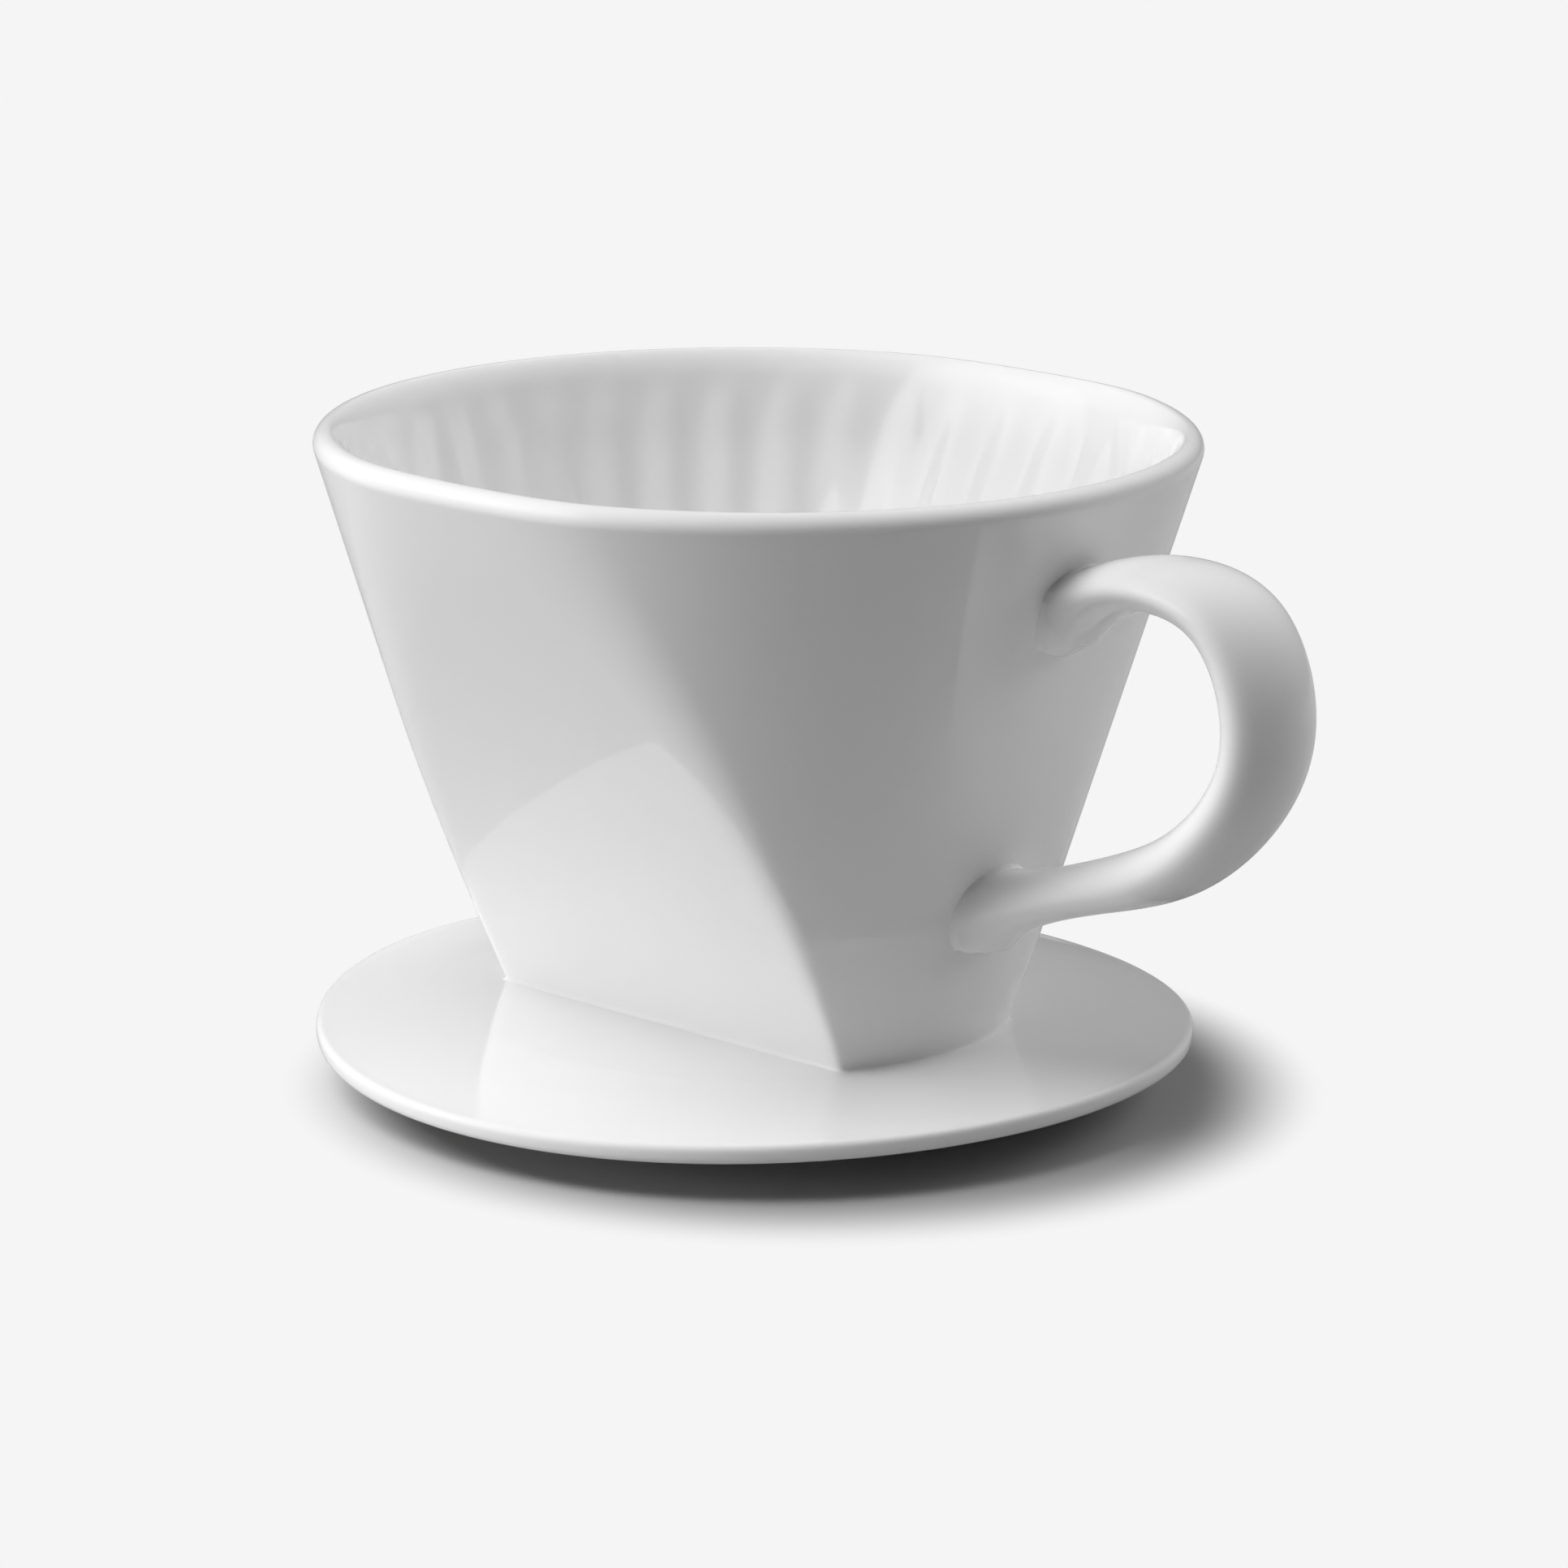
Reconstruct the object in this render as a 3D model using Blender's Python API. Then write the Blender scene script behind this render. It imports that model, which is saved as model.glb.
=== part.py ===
"""Pour over dripper for wedge-shaped paper filters, in cast and glazed porcelain.

Four castings are joined with slip: the bowl, the saucer that it stands on, the loop handle, and the low
ring under the saucer that centres the dripper on a mug. Lengths are in metres. The part stands on z = 0
and its handle points along +X. The origin lies under the middle of the whole length.
"""
import math

import bmesh
import bpy
import numpy as np

MM = 0.001

# Joints
JOINT_GAP = 0.3 * MM        # room between two castings that touch
OVERSHOOT = 5.0 * MM        # how far a cutter runs past what it cuts

# Bowl
RIM_RADIUS = 60.0 * MM
BOWL_HEIGHT = 80.1 * MM     # foot to the top of the rim
FOOT_END_RADIUS = 35.9 * MM
FOOT_HALF_WIDTH = 17.4 * MM
WALL = 3.0 * MM
FLOOR_THICKNESS = 4.0 * MM
FLOOR_FILLET = 2.5 * MM
FACET_INSET = 1.2 * MM      # flat side inside the rim line, before it turns out to the round
FACET_RELIEF = 0.7 * MM     # flat side outside the rim circle at the rim, so that the rim stays round
FACET_CURVE = 1.1           # 1 is a true plane, more is slightly hollow
FACET_FLARE = 8             # how late the flat side turns out to the round rim
INNER_CORNER = 3.0 * MM     # softness of the corners inside the bowl
RIM_LAND = 0.3 * MM         # narrow level strip on top of the rim

# Ribs that hold the paper off the wall
RIB_COUNT = 38
RIB_HEIGHT = 1.0 * MM
RIB_SHARE = 0.6             # width of a rib as a share of the pitch
RIB_TOP_DROP = 6.0 * MM     # rim to where the ribs begin
RIB_RUN_IN = 8.0 * MM       # length over which a rib rises to its full height

# Drain holes in the floor
DRAIN_COUNT = 3
DRAIN_RADIUS = 2.5 * MM
DRAIN_PITCH = 14.0 * MM

# Saucer
SAUCER_PROUD = 0.3 * MM     # the saucer is as wide as the rim, and this much more
SAUCER_THICKNESS = 4.4 * MM
SAUCER_EDGE = 2.6 * MM
SAUCER_SLOPE = 1.3          # 1 is a straight slope to the edge, more is rounder
SEAT_MARGIN = 2.0 * MM      # flat seat beyond the ends of the bowl's foot
SAUCER_WARP = 0.9 * MM      # the fired edge stands higher along the handle line than across it
WARP_START = 46.0 * MM      # the plate is level inside this radius
OPENING_HALF_LENGTH = 24.0 * MM
OPENING_HALF_WIDTH = 11.0 * MM
SPIGOT_SHORT = 0.4 * MM     # spigot under the bowl stops this far inside the saucer's opening

# Locating ring
RING_OUTER_RADIUS = 33.0 * MM
RING_WIDTH = 4.6 * MM
RING_STAND = 5.3 * MM       # table to the saucer's underside
RING_SEAT = 0.5 * MM        # depth of the recess in the saucer that the ring is set into
RING_TAPER = 0.6 * MM
RING_EDGE = 0.6 * MM

# Handle
HANDLE_REACH = 36.0 * MM         # bowl wall to the middle of the grip
HANDLE_TOP_DEPTH = 15.5 * MM     # rim to the middle of the upper end
HANDLE_FOOT_HEIGHT = 20.0 * MM   # foot of the bowl to the middle of the lower end
HANDLE_THICKNESS = 8.8 * MM
HANDLE_WIDTH = 17.0 * MM
# Shares of the reach out from the wall, of the rise between the two ends, of the thickness and of the width
HANDLE_KNOTS = (
    (-0.08, 0.98, 1.15, 1.02),
    (0.15, 1.05, 0.80, 0.94),
    (0.40, 1.10, 0.80, 1.00),
    (0.72, 1.03, 0.88, 1.00),
    (0.96, 0.79, 0.96, 0.97),
    (0.99, 0.53, 1.00, 0.92),
    (0.80, 0.30, 0.97, 0.85),
    (0.44, 0.16, 0.78, 0.79),
    (-0.08, 0.00, 0.90, 0.90),
)

# Facet counts
TURNED_STEPS = 96
HANDLE_STEPS = 4            # rings between two knots
HANDLE_SIDES = 20
FACET_ROWS = 10
RIB_ROWS = 5                # rings of the ribbed wall between the ribs' two ends
SLOPE_ROWS = 4              # rings on the saucer's slope
ROUND_STEPS = 3             # steps in a small quarter round
OUTLINE_SAMPLES = 1440      # points used to measure round the inside of the bowl
SHARP_ANGLE = 35            # degrees, edges above this are shaded sharp
TINY = 1e-6

# Finishes
PORCELAIN = (0.86, 0.86, 0.85)
GLAZE_ROUGHNESS = 0.12
BISCUIT = (0.80, 0.78, 0.74)
BISCUIT_ROUGHNESS = 0.6

# Saucer's reach, from the rim above it
SAUCER_RADIUS = RIM_RADIUS + SAUCER_PROUD

# Levels above the table
RING_TOP = RING_STAND + RING_SEAT - JOINT_GAP
SAUCER_BASE = RING_STAND
SAUCER_TOP = SAUCER_BASE + SAUCER_THICKNESS
BOWL_FOOT = SAUCER_TOP + JOINT_GAP

# Wall of the bowl, measured level
CONE_SLOPE = (RIM_RADIUS - FOOT_END_RADIUS) / BOWL_HEIGHT
FACET_SLOPE = (RIM_RADIUS - FOOT_HALF_WIDTH) / BOWL_HEIGHT
CONE_WALL = WALL * math.hypot(1.0, CONE_SLOPE)
FACET_WALL = WALL * math.hypot(1.0, FACET_SLOPE)
RIM_ROLL = CONE_WALL / 2
WALL_RISE = BOWL_HEIGHT - RIM_ROLL


def glaze(name, colour, roughness):
    """Principled material for one casting."""
    material = bpy.data.materials.new(name)
    material.use_nodes = True
    shader = material.node_tree.nodes["Principled BSDF"]
    shader.inputs["Base Color"].default_value = (*colour, 1.0)
    shader.inputs["Roughness"].default_value = roughness
    shader.inputs["Metallic"].default_value = 0.0
    return material


def add_object(name, bm, parent, height, material=None):
    """Object on the bowl's axis at a height. One without a material is a cutter."""
    bmesh.ops.recalc_face_normals(bm, faces=bm.faces)
    mesh = bpy.data.meshes.new(name)
    bm.to_mesh(mesh)
    bm.free()
    obj = bpy.data.objects.new(name, mesh)
    bpy.context.scene.collection.objects.link(obj)
    obj.parent = parent
    obj.location = (0.0, 0.0, height)
    if material:
        mesh.materials.append(material)
        mesh.shade_smooth()
        mesh.set_sharp_from_angle(angle=math.radians(SHARP_ANGLE))
    else:
        obj.hide_render = True
        obj.display_type = 'WIRE'
    return obj


def add_boolean(obj, operation, other):
    """Boolean of one object with another."""
    modifier = obj.modifiers.new(other.name, 'BOOLEAN')
    modifier.operation = operation
    modifier.solver = 'EXACT'
    modifier.object = other


def turned(profile, closed):
    """Solid turned about Z from (radius, height) points, a closed section or an open one with flat ends."""
    bm = bmesh.new()
    verts = [bm.verts.new((radius, 0.0, height)) for radius, height in profile]
    edges = [bm.edges.new(pair) for pair in zip(verts, verts[1:])]
    if closed:
        edges.append(bm.edges.new((verts[-1], verts[0])))
    bmesh.ops.spin(bm, geom=verts + edges, cent=(0, 0, 0), axis=(0, 0, 1), angle=2 * math.pi,
                   steps=TURNED_STEPS, use_merge=True)
    bmesh.ops.holes_fill(bm, edges=bm.edges)
    return bm


def extruded(outline, travel):
    """Prism of a flat outline, carried along a vector."""
    bm = bmesh.new()
    face = bm.faces.new([bm.verts.new(point) for point in outline])
    swept = bmesh.ops.extrude_face_region(bm, geom=[face])
    moved = [item for item in swept["geom"] if isinstance(item, bmesh.types.BMVert)]
    bmesh.ops.translate(bm, verts=moved, vec=travel)
    return bm


def lofted(rings, closed):
    """Skin over rings of points, with the last ring joined to the first or with both ends capped."""
    bm = bmesh.new()
    loops = [[bm.verts.new(point) for point in ring] for ring in rings]
    pairs = list(zip(loops, loops[1:]))
    if closed:
        pairs.append((loops[-1], loops[0]))
    for low, high in pairs:
        count = len(low)
        for k in range(count):
            after = (k + 1) % count
            bm.faces.new((low[k], low[after], high[after], high[k]))
    if not closed:
        bm.faces.new(loops[0])
        bm.faces.new(loops[-1])
    return bm


def quarter_round(steps):
    """Angles of a quarter circle."""
    return [math.pi / 2 * k / steps for k in range(steps + 1)]


def cone_radius(height):
    """Radius of the bowl's round ends at a height above the foot."""
    return FOOT_END_RADIUS + (RIM_RADIUS - FOOT_END_RADIUS) * height / WALL_RISE


def facet_half_width(height):
    """Half the width across the flat sides at a height above the foot."""
    level = min(max(height / WALL_RISE, 0.0), 1.0)
    rise = RIM_RADIUS - FACET_INSET - FOOT_HALF_WIDTH
    flare = FACET_INSET + FACET_RELIEF
    return FOOT_HALF_WIDTH + rise * level ** FACET_CURVE + flare * level ** FACET_FLARE


def bowl_block(grow):
    """Solid turned block with the round ends and rim of the bowl, larger all round by grow."""
    profile = [(FOOT_END_RADIUS + grow, -grow)]
    for angle in quarter_round(ROUND_STEPS):
        radius = RIM_RADIUS - RIM_ROLL + (RIM_ROLL + grow) * math.cos(angle)
        profile.append((radius, WALL_RISE + (RIM_ROLL + grow) * math.sin(angle)))
    return turned(profile, closed=False)


def facet_block():
    """Prism along X between the two flat sides."""
    heights = [WALL_RISE * k / FACET_ROWS for k in range(FACET_ROWS + 1)]
    heights = [-OVERSHOOT] + heights + [BOWL_HEIGHT + OVERSHOOT]
    end = RIM_RADIUS + OVERSHOOT
    near = [(-end, -facet_half_width(height), height) for height in heights]
    far = [(-end, facet_half_width(height), height) for height in reversed(heights)]
    return extruded(near + far, (2 * end, 0.0, 0.0))


def cavity_outline(height, inset):
    """Angles and radii round the inside at a height, three points to each rib, equal steps apart.

    The section is the smaller of the round end and the flat side, softened where they meet."""
    angles = np.linspace(0.0, 2 * math.pi, OUTLINE_SAMPLES + 1)
    across = np.maximum(np.abs(np.sin(angles)), TINY)
    ends = cone_radius(height) - CONE_WALL - inset
    sides = (facet_half_width(height) - FACET_WALL - inset) / across
    overlap = np.maximum(INNER_CORNER - np.abs(ends - sides), 0.0)
    radii = np.minimum(ends, sides) - overlap ** 2 / (4 * INNER_CORNER)
    x = radii * np.cos(angles)
    y = radii * np.sin(angles)
    run = np.concatenate([[0.0], np.cumsum(np.hypot(np.diff(x), np.diff(y)))])
    phases = np.array([-RIB_SHARE / 2, 0.0, RIB_SHARE / 2])
    shares = ((np.arange(RIB_COUNT)[:, None] + 0.5 + phases) / RIB_COUNT).ravel()
    angles = np.interp(shares * run[-1], run, angles)
    return angles, np.interp(shares * run[-1], run, radii)


def cavity_ring(height, inset, rib):
    """Ring of points round the inside, with the ribs standing in by rib."""
    angles, radii = cavity_outline(height, inset)
    crest = np.tile([0.0, 1.0, 0.0], RIB_COUNT)
    radii = radii - rib * crest
    return [(r * math.cos(a), r * math.sin(a), height) for a, r in zip(angles, radii)]


def rib_height_at(height):
    """Height of the ribs at a height above the foot: it fades out near the rim and at the floor."""
    from_top = (BOWL_HEIGHT - RIB_TOP_DROP - height) / RIB_RUN_IN
    from_floor = (height - FLOOR_THICKNESS - FLOOR_FILLET) / RIB_RUN_IN
    share = min(max(min(from_top, from_floor), 0.0), 1.0)
    return RIB_HEIGHT * share * share * (3 - 2 * share)


def filter_cavity():
    """Inside of the bowl, from the floor's fillet over the ribbed wall to the rounded rim."""
    rings = []
    for angle in quarter_round(ROUND_STEPS):
        height = FLOOR_THICKNESS + FLOOR_FILLET * (1 - math.cos(angle))
        rings.append(cavity_ring(height, FLOOR_FILLET * (1 - math.sin(angle)), 0.0))
    rib_floor = FLOOR_THICKNESS + FLOOR_FILLET
    rib_top = BOWL_HEIGHT - RIB_TOP_DROP
    steps = [rib_floor + RIB_RUN_IN / 2, rib_floor + RIB_RUN_IN]
    steps += list(np.linspace(steps[-1], rib_top - RIB_RUN_IN, RIB_ROWS)[1:])
    steps += [rib_top - RIB_RUN_IN / 2, rib_top]
    rings += [cavity_ring(height, 0.0, rib_height_at(height)) for height in steps]
    for angle in quarter_round(ROUND_STEPS):
        grow = min(RIM_ROLL * (1 - math.cos(angle)), RIM_ROLL - RIM_LAND)
        ring = cavity_ring(WALL_RISE, -grow, 0.0)
        rings.append([(x, y, WALL_RISE + RIM_ROLL * math.sin(angle)) for x, y, _ in ring])
    rings.append([(x, y, BOWL_HEIGHT + OVERSHOOT) for x, y, _ in rings[-1]])
    return lofted(rings, closed=False)


def opening_radius(angle, half_length, half_width):
    """Distance from the middle to a straight-sided oval with round ends."""
    centre = half_length - half_width
    across = abs(math.sin(angle))
    along = abs(math.cos(angle))
    if across * centre >= half_width * along:
        return half_width / across
    return centre * along + math.sqrt(half_width ** 2 - (centre * across) ** 2)


def turn_angles():
    """Angles of the steps round a turned piece."""
    return [2 * math.pi * k / TURNED_STEPS for k in range(TURNED_STEPS)]


def foot_spigot():
    """Oval boss under the bowl's floor that drops into the saucer's opening and carries the drain holes."""
    outline = []
    for angle in turn_angles():
        radius = opening_radius(angle, OPENING_HALF_LENGTH, OPENING_HALF_WIDTH) - JOINT_GAP
        outline.append((radius * math.cos(angle), radius * math.sin(angle), FLOOR_THICKNESS / 2))
    depth = SAUCER_THICKNESS - RING_SEAT + JOINT_GAP - SPIGOT_SHORT
    return extruded(outline, (0.0, 0.0, -depth - FLOOR_THICKNESS / 2))


def drain_cutter():
    """Row of drain holes along X through the floor and the spigot."""
    bm = bmesh.new()
    length = 2 * (FLOOR_THICKNESS + SAUCER_THICKNESS + OVERSHOOT)
    for k in range(DRAIN_COUNT):
        hole = bmesh.ops.create_cone(bm, cap_ends=True, segments=TURNED_STEPS // 4, depth=length,
                                     radius1=DRAIN_RADIUS, radius2=DRAIN_RADIUS)
        shift = (k - (DRAIN_COUNT - 1) / 2) * DRAIN_PITCH
        bmesh.ops.translate(bm, verts=hole["verts"], vec=(shift, 0.0, 0.0))
    return bm


def saucer_profile():
    """Radius and height of the saucer's section from its seat, over the edge, to its underside.

    Heights are measured from the underside."""
    seat = FOOT_END_RADIUS + SEAT_MARGIN
    round_radius = SAUCER_EDGE / 2
    edge_start = SAUCER_RADIUS - round_radius
    drop = SAUCER_THICKNESS - SAUCER_EDGE
    points = [(seat, SAUCER_THICKNESS)]
    for k in range(1, SLOPE_ROWS + 1):
        share = k / SLOPE_ROWS
        points.append((seat + (edge_start - seat) * share, SAUCER_THICKNESS - drop * share ** SAUCER_SLOPE))
    for k in range(1, 2 * ROUND_STEPS):
        angle = math.pi / 2 - math.pi * k / (2 * ROUND_STEPS)
        points.append((edge_start + round_radius * math.cos(angle), round_radius * (1 + math.sin(angle))))
    points += [(edge_start, 0.0), ((edge_start + WARP_START) / 2, 0.0), (WARP_START, 0.0)]
    recess = RING_OUTER_RADIUS + JOINT_GAP
    points += [(recess, 0.0), (recess, RING_SEAT)]
    return points


def saucer_rings():
    """Rings of the saucer, starting and ending at its opening."""
    span = SAUCER_RADIUS - WARP_START
    opening = [opening_radius(angle, OPENING_HALF_LENGTH, OPENING_HALF_WIDTH) for angle in turn_angles()]
    rings = [[(r * math.cos(a), r * math.sin(a), SAUCER_THICKNESS) for a, r in zip(turn_angles(), opening)]]
    for radius, height in saucer_profile():
        lift = SAUCER_WARP * max((radius - WARP_START) / span, 0.0) ** 2
        rings.append([(radius * math.cos(a), radius * math.sin(a), height + lift * math.cos(2 * a))
                      for a in turn_angles()])
    rings.append([(x, y, RING_SEAT) for x, y, _ in rings[0]])
    return rings


def ring_profile():
    """Closed section of the locating ring, narrower at the foot, with its edges cut back."""
    inner = RING_OUTER_RADIUS - RING_WIDTH
    foot_inner = inner + RING_TAPER
    foot_outer = RING_OUTER_RADIUS - RING_TAPER
    return [
        (RING_OUTER_RADIUS, RING_TOP),
        (foot_outer, RING_EDGE),
        (foot_outer - RING_EDGE, 0.0),
        (foot_inner + RING_EDGE, 0.0),
        (foot_inner, RING_EDGE),
        (inner, RING_TOP),
    ]


def handle_knots():
    """Knots as rows of distance from the bowl's axis, height, half thickness and half width."""
    low = HANDLE_FOOT_HEIGHT
    rise = BOWL_HEIGHT - HANDLE_TOP_DEPTH - low
    rows = []
    for out, up, thick, wide in HANDLE_KNOTS:
        height = low + up * rise
        rows.append((cone_radius(height) + out * HANDLE_REACH, height,
                     thick * HANDLE_THICKNESS / 2, wide * HANDLE_WIDTH / 2))
    return np.array(rows)


def smooth_rows(knots):
    """Rows on a smooth curve through the knots, with its direction. Each end is carried on straight."""
    padded = np.vstack([2 * knots[0] - knots[1], knots, 2 * knots[-1] - knots[-2]])
    rows = []
    slopes = []
    for k in range(len(knots) - 1):
        a, b, c, d = padded[k:k + 4]
        last = k == len(knots) - 2
        for t in np.arange(HANDLE_STEPS + last) / HANDLE_STEPS:
            rows.append(b + (c - a) * t / 2 + (2 * a - 5 * b + 4 * c - d) * t ** 2 / 2
                        + (3 * b - a - 3 * c + d) * t ** 3 / 2)
            slopes.append((c - a) / 2 + (2 * a - 5 * b + 4 * c - d) * t
                          + (3 * b - a - 3 * c + d) * 1.5 * t ** 2)
    return np.array(rows), np.array(slopes)


def handle_rings():
    """Oval sections square to the handle's middle line, in the plane y = 0."""
    rows, slopes = smooth_rows(handle_knots())
    rings = []
    for (x, z, thick, wide), slope in zip(rows, slopes):
        length = math.hypot(slope[0], slope[1])
        normal_x = -slope[1] / length
        normal_z = slope[0] / length
        ring = []
        for k in range(HANDLE_SIDES):
            angle = 2 * math.pi * k / HANDLE_SIDES
            out = thick * math.cos(angle)
            ring.append((x + out * normal_x, wide * math.sin(angle), z + out * normal_z))
        rings.append(ring)
    return rings


def main():
    for obj in list(bpy.data.objects):
        bpy.data.objects.remove(obj, do_unlink=True)

    handle = handle_rings()
    reach = max(point[0] for ring in handle for point in ring)
    back = max(SAUCER_RADIUS, RIM_RADIUS)

    axis = bpy.data.objects.new("bowl_axis", None)
    bpy.context.scene.collection.objects.link(axis)
    axis.location = ((back - reach) / 2, 0.0, 0.0)

    bowl = add_object("filter_bowl", bowl_block(0.0), axis, BOWL_FOOT,
                      glaze("bowl_glaze", PORCELAIN, GLAZE_ROUGHNESS))
    add_boolean(bowl, 'INTERSECT', add_object("facet_block", facet_block(), axis, BOWL_FOOT))
    add_boolean(bowl, 'DIFFERENCE', add_object("filter_cavity", filter_cavity(), axis, BOWL_FOOT))
    add_boolean(bowl, 'UNION', add_object("foot_spigot", foot_spigot(), axis, BOWL_FOOT))
    add_boolean(bowl, 'DIFFERENCE', add_object("drain_cutter", drain_cutter(), axis, BOWL_FOOT))

    add_object("saucer", lofted(saucer_rings(), closed=True), axis, SAUCER_BASE,
               glaze("saucer_glaze", PORCELAIN, GLAZE_ROUGHNESS))

    grip = add_object("handle", lofted(handle, closed=False), axis, BOWL_FOOT,
                      glaze("handle_glaze", PORCELAIN, GLAZE_ROUGHNESS))
    add_boolean(grip, 'DIFFERENCE', add_object("handle_seat", bowl_block(JOINT_GAP), axis, BOWL_FOOT))

    add_object("locating_ring", turned(ring_profile(), closed=True), axis, 0.0,
               glaze("foot_biscuit", BISCUIT, BISCUIT_ROUGHNESS))


main()
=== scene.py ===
"""Looks of a pour over dripper in glazed porcelain: bowl, saucer, loop handle and bare locating ring."""
import math

import bpy
import numpy as np
from mathutils import Matrix, Vector


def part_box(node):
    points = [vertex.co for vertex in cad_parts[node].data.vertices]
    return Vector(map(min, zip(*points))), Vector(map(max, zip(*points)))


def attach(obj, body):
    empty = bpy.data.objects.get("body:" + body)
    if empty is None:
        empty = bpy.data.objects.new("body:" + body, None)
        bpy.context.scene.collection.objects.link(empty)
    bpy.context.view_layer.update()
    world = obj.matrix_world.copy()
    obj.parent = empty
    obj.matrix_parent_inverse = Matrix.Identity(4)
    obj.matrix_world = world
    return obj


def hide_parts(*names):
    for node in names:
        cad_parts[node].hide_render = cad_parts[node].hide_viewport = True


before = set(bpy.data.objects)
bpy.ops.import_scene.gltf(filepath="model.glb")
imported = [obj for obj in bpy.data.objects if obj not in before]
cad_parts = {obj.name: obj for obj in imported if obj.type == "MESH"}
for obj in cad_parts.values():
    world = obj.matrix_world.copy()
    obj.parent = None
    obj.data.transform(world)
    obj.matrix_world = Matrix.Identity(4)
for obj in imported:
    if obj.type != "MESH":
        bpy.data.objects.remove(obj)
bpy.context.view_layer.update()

MM = 0.001
TINY = 1e-9                     # keeps a division from zero

# Places taken from the frame
bowl_low, bowl_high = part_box("filter_bowl")
saucer_low, saucer_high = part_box("saucer")
ring_low, ring_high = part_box("locating_ring")
AXIS_X = (saucer_low.x + saucer_high.x) / 2
RIM_RADIUS = (bowl_high.y - bowl_low.y) / 2
RIM_TOP = bowl_high.z
SEAT = saucer_high.z                    # top of the saucer under the bowl
SPIGOT_BASE = bowl_low.z
SAUCER_RADIUS = (saucer_high.x - saucer_low.x) / 2
RING_RADIUS = (ring_high.x - ring_low.x) / 2

# Sizes that the solids have too
JOINT_GAP = 0.3 * MM
FOOT = SEAT + JOINT_GAP
BOWL_HEIGHT = RIM_TOP - FOOT
FOOT_END_RADIUS = 35.9 * MM
FOOT_HALF_WIDTH = 17.4 * MM
WALL = 3.0 * MM
FLOOR_THICKNESS = 4.0 * MM
FLOOR_FILLET = 2.5 * MM
CORNER_SOFT = 3.0 * MM          # corners inside the bowl
RIB_COUNT = 38
RIB_RUN_IN = 8.0 * MM
DRAIN_COUNT = 3
DRAIN_RADIUS = 2.5 * MM
DRAIN_PITCH = 14.0 * MM
SAUCER_THICKNESS = 4.4 * MM
UNDERSIDE = SEAT - SAUCER_THICKNESS
SAUCER_EDGE = 2.6 * MM
SAUCER_SLOPE = 1.3
SEAT_MARGIN = 2.0 * MM
SAUCER_WARP = 0.9 * MM
WARP_START = 46.0 * MM
OPENING_HALF_LENGTH = 24.0 * MM
OPENING_HALF_WIDTH = 11.0 * MM
RING_WIDTH = 4.6 * MM
RING_TAPER = 0.6 * MM
RING_SEAT = 0.5 * MM
HANDLE_TOP_DEPTH = 15.5 * MM
HANDLE_FOOT_HEIGHT = 20.0 * MM
HANDLE_THICKNESS = 8.8 * MM
HANDLE_WIDTH = 17.0 * MM

# Forms that follow the photograph more closely than the solids do
FACET_INSET = 0.3 * MM
FACET_CURVE = 1.05
SAUCER_LIP = 0.7                # power of the edge's curve: 1 is half round, and less is flatter
RIB_HEIGHT = 0.6 * MM
RIB_TOP_DROP = 2.0 * MM
RIB_FULL = 0.5                  # half width of a rib as a share of the pitch
RIB_NARROW = 0.25               # the same where the rib fades out
HANDLE_REACH = 35.9 * MM
# Shares of the reach, of the rise between the two ends, of the thickness and of the width
HANDLE_KNOTS = np.array([
    (-0.08, 0.93, 0.80, 0.92),
    (0.15, 1.05, 0.80, 0.94),
    (0.40, 1.10, 0.80, 1.00),
    (0.72, 1.03, 0.88, 1.00),
    (0.96, 0.79, 0.96, 0.97),
    (0.99, 0.53, 1.00, 0.92),
    (0.80, 0.30, 0.97, 0.85),
    (0.44, 0.16, 0.78, 0.79),
    (-0.08, 0.00, 0.62, 0.78),
])

# Soft edges left by the glaze
RIM_ROLL = WALL / 2
RIM_ROUND = 2.1 * MM            # outer edge of the rim
RIM_DEPTH_OUT = 3.2 * MM
RIM_DEPTH_IN = 3.0 * MM
RIM_SWELL = 1.0 * MM            # how much thicker the wall grows inside, up to the rim
RIM_SWELL_DEPTH = 14.0 * MM
CREASE_SOFT = 1.3 * MM          # at the foot
CREASE_SOFT_TOP = 4.5 * MM      # at the rim
FOOT_COVE = 0.6 * MM
COVE_EDGE = 0.9 * FOOT_COVE     # how far the bowl's glaze reaches out on the saucer
WALL_START = 1.4 * MM           # height of the first row above the cove
SINK = 0.02 * MM                # how far one casting's glaze runs into the next, so that no gap shows
EDGE_SOFT = 0.5 * MM
RING_SOFT = 0.7 * MM
CUT_PAST = 1.0 * MM             # how far a cutter runs past what it cuts
HANDLE_COVE = 0.7 * MM
HANDLE_SINK = 1.0 * MM
# Shares by which the handle grows thicker and wider (or narrower) at the wall, and over what length
HANDLE_TOP_FLARE = (0.45, -0.22, 3.0 * MM)
HANDLE_FOOT_FLARE = (1.15, 0.02, 4.0 * MM)

# Finishes
GLAZE_TONES = ("#F4F4F4", "#F0F0F0")
GLAZE_POOL = 35.0 * MM          # length over which the glaze's tone and gloss drift
GLAZE_ROUGHNESS = (0.02, 0.05)
GLAZE_WAVE = 14.0 * MM          # length of the waves that make reflections waver
GLAZE_WAVE_HEIGHT = 0.05 * MM
GLAZE_IOR = 1.58
BARE_TONES = ("#ECE8E0", "#DCD6CB")
BARE_GRIT = 0.8 * MM            # coarser than the real grit, so that it shows
BARE_GRIT_HEIGHT = 0.05 * MM
BARE_ROUGHNESS = 0.65
BARE_IOR = 1.5
# Colour sockets of a Mix node, whose names aren't unique
MIX_A = 6
MIX_B = 7
MIX_RESULT = 2

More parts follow.
